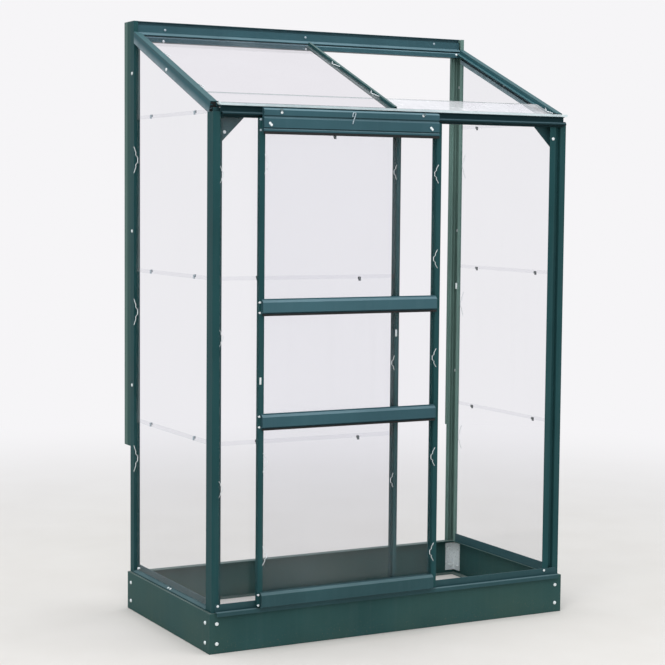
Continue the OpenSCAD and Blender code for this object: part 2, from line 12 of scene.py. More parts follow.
import bmesh
import bpy
from mathutils import Matrix, Vector


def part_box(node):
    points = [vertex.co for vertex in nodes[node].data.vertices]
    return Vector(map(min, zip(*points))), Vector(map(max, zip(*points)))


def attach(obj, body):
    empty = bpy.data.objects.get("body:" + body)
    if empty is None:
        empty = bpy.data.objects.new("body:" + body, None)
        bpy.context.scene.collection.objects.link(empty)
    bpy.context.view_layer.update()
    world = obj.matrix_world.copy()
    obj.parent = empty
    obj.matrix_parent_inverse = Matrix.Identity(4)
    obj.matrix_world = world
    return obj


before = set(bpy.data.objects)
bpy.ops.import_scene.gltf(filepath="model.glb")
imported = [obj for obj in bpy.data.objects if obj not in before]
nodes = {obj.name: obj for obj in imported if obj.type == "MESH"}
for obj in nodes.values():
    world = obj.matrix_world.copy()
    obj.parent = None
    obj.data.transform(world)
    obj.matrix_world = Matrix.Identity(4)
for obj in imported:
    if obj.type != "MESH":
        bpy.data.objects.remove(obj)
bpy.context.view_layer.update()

# %% [markdown]
# ## Measures
#
# Fasteners are set out the way a fitter would do it, in millimetres: across
# from the middle of the house, out from the house wall and up from the
# ground. One small function turns such a place into metres in the shared
# frame, so no other cell has to think about it. The faces that the fasteners
# sit on are read from the boxes of the metalwork.

# %% Places in the frame
MM = 0.001
LEFT = (-1, 0, 0)
RIGHT = (1, 0, 0)
FRONT = (0, -1, 0)
BACK = (0, 1, 0)
UP = (0, 0, 1)
DOWN = (0, 0, -1)
wall_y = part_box("wall_post_left")[1].y


def at(x, y, z):
    """A place in millimetres, with y counted from the house wall."""
    return Vector((x * MM, wall_y + y * MM, z * MM))


def depth_of(y):
    """A frame y as millimetres from the house wall."""
    return (y - wall_y) / MM


post_half = -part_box("corner_post_left")[0].x / MM
post_front = depth_of(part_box("corner_post_left")[0].y)
base_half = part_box("base_right")[1].x / MM
base_front = depth_of(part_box("base_front")[0].y)
roof_low, roof_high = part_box("roof_glass_left")
ledge_z = roof_low.z / MM
pitch = math.atan2(roof_high.z - roof_low.z, roof_high.y - roof_low.y)
off_slope = Vector((0, -math.sin(pitch), math.cos(pitch)))
print("posts at", post_half, "front at", round(post_front, 1), "ledge at", round(ledge_z, 1))

# %% [markdown]
# ## Working on one object at a time
#
# An operator works on whatever is selected, so the habit that saves most
# trouble is to clear the selection first, and then to choose faces by their
# place or by the way they face. These helpers do just that.

# %% Selection helpers
SQUARE_ON = 0.9
WELD = 0.00001


def only(piece):
    """Make one piece the whole selection."""
    if bpy.context.mode != "OBJECT":
        bpy.ops.object.mode_set(mode="OBJECT")
    bpy.ops.object.select_all(action="DESELECT")
    piece.select_set(True)
    bpy.context.view_layer.objects.active = piece


def pick(piece, wanted, kind="FACE"):
    """Enter edit mode with the faces or edges chosen that wanted() likes."""
    only(piece)
    bpy.ops.object.mode_set(mode="EDIT")
    bpy.ops.mesh.select_mode(type=kind)
    bpy.ops.mesh.select_all(action="DESELECT")
    shape = bmesh.from_edit_mesh(piece.data)
    if kind == "FACE":
        for face in shape.faces:
            face.select_set(wanted(face.calc_center_median(), face.normal))
    else:
        for edge in shape.edges:
            middle = (edge.verts[0].co + edge.verts[1].co) / 2
            edge.select_set(wanted(middle, edge.verts[1].co - edge.verts[0].co))
    bmesh.update_edit_mesh(piece.data)


def looks(way):
    """A test for pick(): the face looks along a direction."""
    return lambda spot, facing: facing.dot(Vector(way)) > SQUARE_ON


def drag(x, y, z):
    """Draw the chosen faces or edges out by a move in millimetres."""
    bpy.ops.mesh.extrude_region_move(TRANSFORM_OT_translate={"value": (x * MM, y * MM, z * MM)})


def block(name, middle, size):
    """A block of a given size about its middle."""
    bpy.ops.object.select_all(action="DESELECT")
    bpy.ops.mesh.primitive_cube_add(size=1, location=middle)
    made = bpy.context.active_object
    made.name = name
    made.scale = size
    only(made)
    bpy.ops.object.transform_apply(location=True, rotation=True, scale=True)
    return made


def close_up(piece, angle=35):
    """Point the faces outwards, leave edit mode and smooth the round parts."""
    bpy.ops.mesh.select_all(action="SELECT")
    bpy.ops.mesh.remove_doubles(threshold=WELD)
    bpy.ops.mesh.normals_make_consistent(inside=False)
    bpy.ops.object.mode_set(mode="OBJECT")
    only(piece)
    bpy.ops.object.shade_smooth_by_angle(angle=math.radians(angle))
    print(piece.name, "has", len(piece.data.polygons), "faces")


def round_front(piece, width):
    """Bevel the edges of the front face, as a mould or a die leaves them."""
    pick(piece, looks(FRONT))
    bpy.ops.mesh.bevel(offset=width * MM, segments=2, affect="EDGES")
    close_up(piece)


bpy.ops.object.select_all(action="DESELECT")

# %% [markdown]
# ## Building node trees
#
# A finish is a small network: textures make masks, masks mix colours, and
# one shader takes the result. Adding a node, setting it and wiring it are
# always done together, so one helper does the three.

# %% Node helpers
def add(tree, kind, feeds=None, **settings):
    """Add a node, set its options and fill or wire its inputs."""
    made = tree.nodes.new("ShaderNode" + kind)
    for option, value in settings.items():
        setattr(made, option, value)
    for key, value in (feeds or {}).items():
        if isinstance(value, bpy.types.NodeSocket):
            tree.links.new(value, made.inputs[key])
        else:
            made.inputs[key].default_value = value
    return made


def own_space(tree):
    """Places in the piece's own space, where one unit is a metre."""
    return add(tree, "TexCoord").outputs["Object"]


def noise(tree, spot, scale, detail, **feeds):
    """A cloudy pattern between 0 and 1."""
    feeds.update({"Vector": spot, "Scale": scale, "Detail": detail})
    return add(tree, "TexNoise", feeds).outputs["Fac"]


def spread(tree, value, low, high, start=0.0, end=1.0, **settings):
    """Turn the range from low to high into one from start to end."""
    feeds = {0: value, 1: low, 2: high, 3: start, 4: end}
    return add(tree, "MapRange", feeds, **settings).outputs[0]


def bump(tree, height, strength, distance):
    """A fine relief in the surface."""
    return add(tree, "Bump", {"Strength": strength, "Distance": distance, "Height": height})


def sum_up(tree, how, first, second):
    """One clamped Math node."""
    return add(tree, "Math", {0: first, 1: second}, operation=how, use_clamp=True).outputs[0]


def times(tree, first, second):
    """The product of two masks."""
    return sum_up(tree, "MULTIPLY", first, second)


def eye_rays(tree):
    """A mask for rays from the eye, straight, off a mirror or through glass."""
    rays = add(tree, "LightPath")
    seen = sum_up(tree, "MAXIMUM", rays.outputs["Is Camera Ray"], rays.outputs["Is Glossy Ray"])
    return sum_up(tree, "MAXIMUM", seen, rays.outputs["Is Transmission Ray"])


def blend(tree, share, first, second):
    """Mix two colours by a mask."""
    return add(tree, "Mix", {0: share, 6: first, 7: second}, data_type="RGBA").outputs[2]


def cover(tree, share, under, over):
    """Lay one shader over another by a mask."""
    return add(tree, "MixShader", {0: share, 1: under, 2: over}).outputs[0]


def new_group(name, inputs, outputs):
    """An empty node group with named sockets."""
    tree = bpy.data.node_groups.new(name, "ShaderNodeTree")
    kinds = {"colour": "NodeSocketColor", "value": "NodeSocketFloat", "vector": "NodeSocketVector"}
    for label, kind, value in inputs:
        socket = tree.interface.new_socket(name=label, in_out="INPUT", socket_type=kinds[kind])
        socket.default_value = value
    for label, kind in outputs:
        tree.interface.new_socket(name=label, in_out="OUTPUT", socket_type=kinds[kind])
    return tree


def new_finish(name):
    """A material with an empty tree and its output node."""
    finish = bpy.data.materials.new(name)
    finish.use_nodes = True
    finish.node_tree.nodes.clear()
    return finish, finish.node_tree, add(finish.node_tree, "OutputMaterial")


def use_group(tree, group, feeds):
    """Put a node group in a material."""
    made = tree.nodes.new("ShaderNodeGroup")
    made.node_tree = group
    for key, value in feeds.items():
        made.inputs[key].default_value = value
    return made


def ink(red, green, blue):
    """A colour as it looks on a colour card, turned into light."""
    tones = []
    for tone in (red, green, blue):
        share = tone / 255
        tones.append(share / 12.92 if share <= 0.04045 else ((share + 0.055) / 1.055) ** 2.4)
    return (*tones, 1.0)


print("helpers ready; mid grey is", round(ink(128, 128, 128)[0], 3))

# %% [markdown]
# ## Powder coat
#
# The bars are aluminium, baked with a dark green powder. Close by, such a
# coat has a very fine orange-peel skin, catches light on its rounded edges,
# and out of doors it carries a little pale dust on everything that faces
# up, and faint runs where rain goes down. A group makes these four effects
# once, and each painted finish feeds it with its own colours. The light on
# the edges is partly a painted highlight, the pale colour on the ledges is
# partly a painted sky sheen, and the undersides get painted shade.

# %% Shared group: weathered coat
coat = new_group(
    "Weathered coat",
    [
        ("Coat", "colour", ink(40, 76, 78)),
        ("Wear_and_highlight", "colour", ink(90, 120, 120)),
        ("Dust", "colour", ink(150, 158, 152)),
        ("Dust and sheen on ledges", "value", 0.25),
        ("Runs", "value", 0.15),
        ("Edge wear and highlight", "value", 0.5),
        ("Edge width", "value", 0.0012),
        ("Shine", "value", 0.42),
    ],
    [("Colour", "colour"), ("Roughness", "value"), ("Normal", "vector")],
)
entry = coat.nodes.new("NodeGroupInput")
leave = coat.nodes.new("NodeGroupOutput")
spot = own_space(coat)
cloudy = noise(coat, spot, 5.0, 4.0)
peel = noise(coat, spot, 700.0, 2.0)
stretch = add(coat, "Mapping", {"Vector": spot, "Scale": (55.0, 55.0, 2.2)}).outputs[0]
run = noise(coat, stretch, 1.0, 3.0)
rounded = add(coat, "Bevel", {"Radius": entry.outputs["Edge width"]}, samples=4).outputs[0]
flat = add(coat, "NewGeometry").outputs["Normal"]
print("coat textures made")

# %% [markdown]
# Dust settles where the normal points up, so the third part of the normal is
# a ready mask for it; the same mask also lays a painted sky sheen on the
# ledges. Where the normal points down the coat is darkened, as painted shade
# on the undersides. The edge mask compares the true normal with one that the
# Bevel node rounds off: the two differ only along the edges, where a paler
# colour stands for paint wear and a painted highlight.

# %% Masks and outputs of the coat
facing = add(coat, "SeparateXYZ", {0: flat}).outputs[2]
# Faces that look up take the dust colour: real dust and a painted sky sheen.
ledge_dust_and_sheen = spread(coat, facing, 0.2, 0.7)
patchy = spread(coat, cloudy, 0.3, 0.6, 0.6, 1.0)
dust = times(coat, times(coat, ledge_dust_and_sheen, patchy), entry.outputs["Dust and sheen on ledges"])
wet = spread(coat, run, 0.5, 0.75)
streak = times(coat, wet, entry.outputs["Runs"])
same = add(coat, "VectorMath", {0: rounded, 1: flat}, operation="DOT_PRODUCT").outputs["Value"]
# Along the edges a paler colour is laid: paint wear and a painted highlight.
edge = spread(coat, same, 0.97, 0.75)
worn_and_highlit = times(coat, edge, entry.outputs["Edge wear and highlight"])
shade = spread(coat, cloudy, 0.2, 0.8, 0.86, 1.14)
# Faces that look down are darkened: painted shade on the undersides.
under = spread(coat, facing, -0.85, -0.4, 0.3, 1.0)
shade = add(coat, "Math", {0: shade, 1: under}, operation="MULTIPLY").outputs[0]
feeds = {0: entry.outputs["Coat"], "Scale": shade}
tone = add(coat, "VectorMath", feeds, operation="SCALE").outputs[0]
tone = blend(coat, streak, tone, entry.outputs["Dust"])
tone = blend(coat, dust, tone, entry.outputs["Dust"])
tone = blend(coat, worn_and_highlit, tone, entry.outputs["Wear_and_highlight"])
coat.links.new(tone, leave.inputs["Colour"])
gloss = spread(coat, cloudy, 0.3, 0.7, -0.05, 0.05)
gloss = sum_up(coat, "ADD", gloss, entry.outputs["Shine"])
gloss = sum_up(coat, "ADD", gloss, times(coat, dust, 0.5))
coat.links.new(gloss, leave.inputs["Roughness"])
skin = add(coat, "Bump", {"Strength": 0.12, "Distance": 0.0003, "Height": peel, "Normal": rounded})
coat.links.new(skin.outputs[0], leave.inputs["Normal"])
print("coat group has", len(coat.nodes), "nodes")

# %% [markdown]
# Several finishes share that coat. The uprights are the darkest. The bars that
# lie level are given a paler, bluer green and a bluer dust, as a painted sky
# sheen; the middle rail is paler still, and the low bars a little darker. The
# eave bar is given a darker green, as painted shade under the glass nose. The
# right wall post is given a much paler green, as painted light thrown on it by
# the house wall. The base stands in the splash of the rain and turns a little
# olive in patches. The boards that close the gap to the house wall are painted
# by hand, and their rear half has faded the most.

# %% Paint of the bars
def show_coat(tree, out, look, tone, shine, normal=None):
    """Shade a surface with a colour and with the skin of the coat."""
    if normal is None:
        normal = look.outputs["Normal"]
    feeds = {"Base Color": tone, "Roughness": look.outputs["Roughness"], "Normal": normal}
    feeds["Specular IOR Level"] = shine
    shader = add(tree, "BsdfPrincipled", feeds)
    tree.links.new(shader.outputs[0], out.inputs[0])


def bar_finish(name, feeds, shine=0.03):
    """Powder coat with its own colours and amounts."""
    finish, tree, out = new_finish(name)
    look = use_group(tree, coat, feeds)
    show_coat(tree, out, look, look.outputs["Colour"], shine)
    print("made", finish.name)
    return finish


LEVEL_SHINE = 0.12
EAVE_SHINE = 0.04
upright_coat = {"Coat": ink(38, 74, 76), "Wear_and_highlight": ink(88, 120, 122), "Runs": 0.04, "Edge wear and highlight": 0.35}
# Level bars: a paler, bluer coat and dust colour as a painted sky sheen.
level_sheen_coat = {"Coat": ink(54, 87, 95), "Wear_and_highlight": ink(100, 128, 135), "Runs": 0.03, "Edge wear and highlight": 0.25}
level_sheen_coat.update({"Dust": ink(120, 146, 154), "Dust and sheen on ledges": 0.5})
# Eave bar: a darker coat as painted shade under the glass nose.
eave_shade_coat = {"Coat": ink(28, 52, 56), "Wear_and_highlight": ink(84, 104, 112), "Runs": 0.03, "Edge wear and highlight": 0.25}
eave_shade_coat.update({"Dust": ink(84, 104, 112), "Dust and sheen on ledges": 0.5})
# Right wall post: a much paler coat as painted light from the house wall.
wall_lit_coat = dict(upright_coat, Coat=ink(106, 134, 126), Wear_and_highlight=ink(104, 130, 128))
# Middle rail paler, low bars darker: painted sheen that differs by bar.
middle_sheen_coat = dict(level_sheen_coat, Coat=ink(62, 96, 104))
low_sheen_coat = dict(level_sheen_coat, Coat=ink(47, 78, 82), Dust=ink(108, 132, 136))
paint = bar_finish("green uprights", upright_coat)
wall_lit_paint = bar_finish("upright, painted wall light", wall_lit_coat)
level_sheen_paint = bar_finish("green level bars, painted sheen", level_sheen_coat, LEVEL_SHINE)
middle_sheen_paint = bar_finish("green middle rail, painted sheen", middle_sheen_coat, LEVEL_SHINE)
low_sheen_paint = bar_finish("green low bars, painted sheen", low_sheen_coat, LEVEL_SHINE)
eave_shade_paint = bar_finish("green eave, painted shade", eave_shade_coat, EAVE_SHINE)

# %% [markdown]
# The end rafters slope. Along the lower edge of their sides a pale blue-grey
# stripe is laid as a painted sky reflection, and a darker line near the top as
# painted shade in a groove. How far a point lies from the plane of the roof
# gives the place of both.

# %% Paint of the end rafters
SHEEN_BAND = (0.036, 0.016)
CREASE_SHADE = (0.011, 0.007)
rafter_paint, tree, out = new_finish("green rafters")
rafter_coat = {"Coat": ink(44, 87, 95), "Wear_and_highlight": ink(98, 124, 128), "Runs": 0.0}
rafter_coat.update({"Edge wear and highlight": 0.3, "Dust and sheen on ledges": 0.12})
look = use_group(tree, coat, rafter_coat)
spot = own_space(tree)
offs = [off_slope.dot(vert.co) for vert in nodes["rafter_left"].data.vertices]
bar_top = max(offs)
away = add(tree, "VectorMath", {0: spot, 1: off_slope}, operation="DOT_PRODUCT").outputs["Value"]
# A pale stripe low on the sides: painted sky reflection.
sheen_band = spread(tree, away, bar_top - SHEEN_BAND[0], bar_top - SHEEN_BAND[1], 0.75, 0.0)
# A darker line near the top: painted shade in a groove.
crease_shade = spread(tree, away, bar_top - CREASE_SHADE[0], bar_top - CREASE_SHADE[1], 0.0, 0.5)
cloud = noise(tree, spot, 30.0, 4.0)
cloud = spread(tree, cloud, 0.3, 0.6, 0.6, 1.0)
tone = blend(tree, times(tree, sheen_band, cloud), look.outputs["Colour"], ink(146, 162, 168))
tone = blend(tree, times(tree, crease_shade, cloud), tone, ink(58, 84, 86))
show_coat(tree, out, look, tone, 0.06)
print("made", rafter_paint.name, "for bars", round(bar_top - min(offs), 3), "deep")

# %% Paint of the base
SPLASH_TOP = 0.11
base_paint, tree, out = new_finish("green base")
base_coat = {"Coat": ink(50, 82, 81), "Wear_and_highlight": ink(96, 126, 124), "Runs": 0.02}
# A wider edge width lays a broad painted highlight along the folds of the base.
base_coat.update({"Edge width": 0.003, "Dust and sheen on ledges": 0.5})
look = use_group(tree, coat, base_coat)
spot = own_space(tree)
height = add(tree, "SeparateXYZ", {0: spot}).outputs[2]
low = spread(tree, height, SPLASH_TOP, 0.0)
blot = noise(tree, spot, 3.0, 5.0)
blot = spread(tree, blot, 0.42, 0.68)
damp = sum_up(tree, "ADD", times(tree, low, 0.5), 0.35)
algae = times(tree, damp, blot)
splash = noise(tree, spot, 160.0, 3.0)
splash = spread(tree, splash, 0.6, 0.75, 0.0, 0.5)
mud = times(tree, splash, times(tree, low, low))
tone = blend(tree, algae, look.outputs["Colour"], ink(64, 88, 80))
tone = blend(tree, mud, tone, ink(120, 110, 92))
show_coat(tree, out, look, tone, 0.03)
print("made", base_paint.name)

# %% Paint of the closing boards
FADED = (0.025, 0.031)
board_paint, tree, out = new_finish("painted boards")
board_coat = {"Coat": ink(46, 80, 77), "Wear_and_highlight": ink(96, 124, 120), "Runs": 0.1, "Shine": 0.6}
look = use_group(tree, coat, board_coat)
spot = own_space(tree)
along = add(tree, "Mapping", {"Vector": spot, "Scale": (60.0, 60.0, 1.6)}).outputs[0]
grain = noise(tree, along, 4.0, 6.0, Distortion=0.4)
deep = add(tree, "SeparateXYZ", {0: spot}).outputs[1]
rear = spread(tree, deep, wall_y + FADED[0], wall_y + FADED[1], 0.0, 0.85)
tone = blend(tree, rear, look.outputs["Colour"], ink(98, 122, 115))
line = spread(tree, grain, 0.35, 0.7, 0.0, 0.35)
tone = blend(tree, line, tone, ink(58, 82, 78))
skin = bump(tree, grain, 0.4, 0.0008)
tree.links.new(look.outputs["Normal"], skin.inputs["Normal"])
show_coat(tree, out, look, tone, 0.08, skin.outputs[0])
print("made", board_paint.name)

# %% [markdown]
# ## Bare metal
#
# Bolts, clips and brackets are steel with a thin zinc plating. New zinc is
# bright and bluish, and weather turns it dull in small cells, the spangle.
# A cell texture gives each grain its own grey, and a noise texture lays a
# warmer stain over them in patches.

# %% Zinc plating, bright and dull
def zinc_finish(name, dark, light, stained, metallic):
    """Zinc in small cells of grey between two tones, with a stain in patches."""
    finish, tree, out = new_finish(name)
    spot = own_space(tree)
    cells = add(tree, "TexVoronoi", {"Vector": spot, "Scale": 420.0})
    grey = add(tree, "SeparateXYZ", {0: cells.outputs["Color"]}).outputs[0]
    cloud = noise(tree, spot, 90.0, 4.0)
    stain = spread(tree, cloud, 0.58, 0.78, 0.0, 0.4)
    tone = blend(tree, grey, dark, light)
    tone = blend(tree, stain, tone, stained)
    rough = spread(tree, cloud, 0.3, 0.7, 0.25, 0.45)
    skin = bump(tree, cloud, 0.15, 0.0002)
    feeds = {"Base Color": tone, "Roughness": rough, "Metallic": metallic}
    feeds["Normal"] = skin.outputs[0]
    shader = add(tree, "BsdfPrincipled", feeds)
    tree.links.new(shader.outputs[0], out.inputs[0])
    print("made", finish.name)
    return finish


new_tones = (ink(226, 233, 234), ink(246, 250, 250), ink(176, 176, 170))
# Darker zinc for the lap clips: painted shade.
shaded_tones = (ink(92, 98, 100), ink(128, 134, 136), ink(78, 76, 70))
grey_tones = (ink(144, 162, 172), ink(182, 196, 202), ink(130, 136, 136))
zinc = zinc_finish("zinc plating", *new_tones, 0.2)
shaded_zinc = zinc_finish("zinc, painted shade", *shaded_tones, 0.5)
grey_zinc = zinc_finish("grey zinc", *grey_tones, 0.25)

# %% [markdown]
# The rollers and glides are black nylon. The heads of the roller axles are
# part of the same CAD node, so the finish of that node changes to dull zinc
# by place: all that lies in front of the top rail's face is a bolt head.

# %% Nylon, and nylon with zinc heads
def nylon_finish(name, heads_in_front_of=None):
    """Matt black nylon, with zinc where a bolt head stands in front of a plane."""
    finish, tree, out = new_finish(name)
    spot = own_space(tree)
    fine = noise(tree, spot, 350.0, 3.0)
    tone = blend(tree, fine, ink(24, 25, 26), ink(48, 50, 50))
    rough = spread(tree, fine, 0.3, 0.7, 0.42, 0.6)
    skin = bump(tree, fine, 0.1, 0.0002).outputs[0]
    feeds = {"Base Color": tone, "Roughness": rough, "Normal": skin, "Specular IOR Level": 0.15}
    shown = add(tree, "BsdfPrincipled", feeds).outputs[0]
    if heads_in_front_of is not None:
        deep = add(tree, "SeparateXYZ", {0: spot}).outputs[1]
        head = sum_up(tree, "LESS_THAN", deep, heads_in_front_of)
        bright = blend(tree, fine, ink(96, 118, 122), ink(120, 140, 144))
        feeds = {"Base Color": bright, "Roughness": rough, "Metallic": 0.75}
        metal = add(tree, "BsdfPrincipled", feeds)
        shown = cover(tree, head, shown, metal.outputs[0])
    tree.links.new(shown, out.inputs[0])
    print("made", finish.name)
    return finish


nylon = nylon_finish("black nylon")
roller_finish = nylon_finish("nylon and zinc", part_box("door_top_rail")[0].y)

# %% [markdown]
# ## Horticultural glass
#
# Glass this thin does not visibly bend what lies behind it. What the eye
# sees is a faint mirror that grows at a grazing look, a breath of dust, and
# the green of the cut edges. So the pane is a see-through shader, a mirror
# mixed in by Fresnel, and a thin veil of dust. The short pane of the roof,
# which has lost its upper neighbour, is the dirtiest. The group only makes
# masks and colours: where the dust lies, and which faces are cut edges.

# %% Shared group: pane masks
pane_group = new_group(
    "Pane",
    [
        ("Face", "vector", (0.0, 1.0, 0.0)),
        ("Dust", "value", 0.03),
        ("Clear", "colour", ink(251, 251, 252)),
    ],
    [("Veil", "value"), ("Edge", "value"), ("Tint", "colour"), ("Roughness", "value")],
)
entry = pane_group.nodes.new("NodeGroupInput")
leave = pane_group.nodes.new("NodeGroupOutput")
spot = own_space(pane_group)
flat = add(pane_group, "NewGeometry").outputs["Normal"]
turn = add(pane_group, "VectorMath", {0: flat, 1: entry.outputs["Face"]}, operation="DOT_PRODUCT")
turn = add(pane_group, "Math", {0: turn.outputs["Value"]}, operation="ABSOLUTE").outputs[0]
cut = spread(pane_group, turn, 0.7, 0.3)
film = noise(pane_group, spot, 2.5, 5.0)
film = spread(pane_group, film, 0.35, 0.7, 0.4, 1.6)
long = add(pane_group, "Mapping", {"Vector": spot, "Scale": (30.0, 30.0, 1.5)}).outputs[0]
drip = noise(pane_group, long, 1.0, 4.0)
drip = spread(pane_group, drip, 0.55, 0.75, 0.0, 0.5)
mess = add(pane_group, "Math", {0: film, 1: drip}, operation="ADD").outputs[0]
veil = times(pane_group, mess, entry.outputs["Dust"])
pane_group.links.new(veil, leave.inputs["Veil"])
pane_group.links.new(cut, leave.inputs["Edge"])
tint = blend(pane_group, cut, entry.outputs["Clear"], ink(238, 244, 243))
pane_group.links.new(tint, leave.inputs["Tint"])
sheen = spread(pane_group, film, 0.4, 1.6, 0.02, 0.06)
pane_group.links.new(sheen, leave.inputs["Roughness"])
print("pane group has", len(pane_group.nodes), "nodes")

# %% Glass for each way that a pane can face
GLASS_IOR = 1.45
MIRROR_SHARE = 0.45


def glass_finish(name, face, dust, tint, rim=0.08, rim_tone=ink(150, 178, 170)):
    """Clear thin glass whose broad faces look along one direction."""
    finish, tree, out = new_finish(name)
    look = use_group(tree, pane_group, {"Face": face, "Dust": dust, "Clear": tint})
    through = add(tree, "BsdfTransparent", {"Color": look.outputs["Tint"]})
    feeds = {"Color": ink(255, 255, 255), "Roughness": look.outputs["Roughness"]}
    mirror = add(tree, "BsdfGlossy", feeds)
    graze = add(tree, "Fresnel", {"IOR": GLASS_IOR}).outputs[0]
    inside = add(tree, "NewGeometry").outputs["Backfacing"]
    outside = sum_up(tree, "SUBTRACT", 1.0, inside)
    graze = times(tree, graze, times(tree, outside, MIRROR_SHARE))
    clear = cover(tree, graze, through.outputs[0], mirror.outputs[0])
    powder = add(tree, "BsdfDiffuse", {"Color": ink(216, 216, 216)}).outputs[0]
    dusty = cover(tree, look.outputs["Veil"], clear, powder)
    green = add(tree, "BsdfPrincipled", {"Base Color": rim_tone, "Roughness": 0.3}).outputs[0]
    share = times(tree, look.outputs["Edge"], rim)
    shown = cover(tree, share, dusty, green)
    tree.links.new(shown, out.inputs[0])
    print("made", finish.name)
    return finish


side_glass = glass_finish("gable glass", RIGHT, 0.012, ink(250, 250, 251))
front_glass = glass_finish("front glass", BACK, 0.012, ink(251, 251, 252))
roof_glass = glass_finish("roof glass", off_slope, 0.04, ink(246, 245, 247))
short_tint = ink(243, 242, 245)
short_rim = ink(104, 122, 124)
short_pane_glass = glass_finish("short pane glass", off_slope, 0.5, short_tint, 0.7, short_rim)

# %% [markdown]
# ## Handing out the finishes
#
# Every node of the frame keeps its exact shape and only changes its
# material. The node names say what each one is, so the finish follows from
# the start of the name, and the first start that fits is the one that counts.

# %% Dress the frame's nodes
FINISHES = (
    ("base_brackets", zinc),
    ("base_", base_paint),
    ("batten_", board_paint),
    ("gable_glass", side_glass),
    ("roof_glass_right", short_pane_glass),
    ("roof_glass", roof_glass),
    ("front_glass", front_glass),
    ("door_glass", front_glass),
    ("door_rollers", roller_finish),
    ("door_glides", nylon),
    ("eave_bar", eave_shade_paint),
    ("wall_post_right", wall_lit_paint),
    ("rafter_left", rafter_paint),
    ("rafter_right", rafter_paint),
    ("door_middle_rail", middle_sheen_paint),
    ("door_bottom_rail", low_sheen_paint),
    ("sill_", low_sheen_paint),
    ("gusset_", low_sheen_paint),
    ("ridge_bar", level_sheen_paint),
    ("door_top_rail", level_sheen_paint),
    ("door_lower_rail", level_sheen_paint),
)


def finish_for(name):
    """The finish of the first start that fits a node's name, or plain paint."""
    for start, finish in FINISHES:
        if name.startswith(start):
            return finish
    return paint


for name, node in nodes.items():
    for place in node.material_slots:
        place.material = finish_for(name)
print("dressed", len(nodes), "nodes")

# %% [markdown]
# ## Bolts
#
# The house is held together by bolts with low round heads, and the larger
# ones have a nut behind. One bolt is modelled at the origin with its head
# up: a short cylinder whose rim is bevelled into a dome, and whose underside
# is inset and drawn out into the shank. It is then copied to each hole and
# turned to face outwards.

# %% Model one bolt
DOME_SHARE = 0.75
SHANK_RADIUS = 3.0
NUT_RADIUS = 5.77
NUT_HEIGHT = 5.0
NUT_CHAMFER = 0.5


def model_bolt(name, radius, height, shank, grip=None):
    """A round-headed bolt with its head above z = 0, and a nut under its grip."""
    bpy.ops.object.select_all(action="DESELECT")
    bpy.ops.mesh.primitive_cylinder_add(
        vertices=16, radius=radius * MM, depth=height * MM, location=(0, 0, height * MM / 2)
    )
    bolt = bpy.context.active_object
    bolt.name = name
    only(bolt)
    bpy.ops.object.transform_apply(location=True, rotation=True, scale=True)
    pick(bolt, looks(UP))
    bpy.ops.mesh.bevel(offset=height * DOME_SHARE * MM, segments=3, profile=0.5, affect="EDGES")
    pick(bolt, looks(DOWN))
    bpy.ops.mesh.inset(thickness=(radius - SHANK_RADIUS) * MM)
    drag(0, 0, -shank)
    close_up(bolt, 30)
    if grip is None:
        return bolt
    middle = (0, 0, -(grip + NUT_HEIGHT / 2) * MM)
    bpy.ops.mesh.primitive_cylinder_add(
        vertices=6, radius=NUT_RADIUS * MM, depth=NUT_HEIGHT * MM, location=middle
    )
    nut = bpy.context.active_object
    pick(nut, lambda spot, facing: abs(facing.z) > SQUARE_ON)
    bpy.ops.mesh.bevel(offset=NUT_CHAMFER * MM, segments=1, affect="EDGES")
    bpy.ops.object.mode_set(mode="OBJECT")
    bolt.select_set(True)
    bpy.context.view_layer.objects.active = bolt
    bpy.ops.object.join()
    return bolt


base_bolt = model_bolt("base bolt", 6.0, 3.4, 12.0, 5.0)
frame_bolt = model_bolt("frame bolt", 5.4, 2.6, 9.0, 4.0)
small_bolt = model_bolt("small bolt", 4.2, 2.2, 6.0)
tiny_bolt = model_bolt("tiny bolt", 3.6, 1.9, 5.0)

# %% Copy helpers
def stand(place, facing):
    """The turn that points an upright template along facing, set at a place."""
    turn = Vector(UP).rotation_difference(Vector(facing)).to_matrix().to_4x4()
    return Matrix.Translation(place) @ turn


def copies(template, turns, name, body, finish):
    """Copy a template to each turn and join the copies into one piece."""
    made = []
    for turn in turns:
        copy = template.copy()
        copy.data = template.data.copy()
        bpy.context.collection.objects.link(copy)
        copy.matrix_world = turn
        made.append(copy)
    bpy.ops.object.select_all(action="DESELECT")
    for copy in made:
        copy.select_set(True)
    bpy.context.view_layer.objects.active = made[0]
    bpy.ops.object.transform_apply(location=True, rotation=True, scale=True)
    if len(made) > 1:
        bpy.ops.object.join()
    piece = made[0]
    piece.name = name
    piece.data.materials.clear()
    piece.data.materials.append(finish)
    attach(piece, body)
    print(name, "is", len(made), "copies,", len(piece.data.polygons), "faces")


# %% [markdown]
# ### Where the bolts go
#
# Each corner of the base has two bolts on either side of the corner. The
# gable sills are bolted down through their sloping ledges by a pair of bolts,
# and once more through the upstand near the wall. Each wall post has three
# screws down its side, and the end rafter beside it has one.

# %% Bolts of the base
BASE_ROWS = (31, 94)
BASE_CORNER_IN = 25
BASE_END_IN = 31
BASE_REAR = -32
turns = []
for side, out_way in ((-1, LEFT), (1, RIGHT)):
    for height in BASE_ROWS:
        turns.append(stand(at(side * (base_half - BASE_CORNER_IN), base_front, height), FRONT))
        turns.append(stand(at(side * base_half, base_front + BASE_END_IN, height), out_way))
        turns.append(stand(at(side * base_half, BASE_REAR, height), out_way))
        turns.append(stand(at(side * (base_half - BASE_CORNER_IN), 0, height), BACK))
copies(base_bolt, turns, "base_bolts", "frame", zinc)

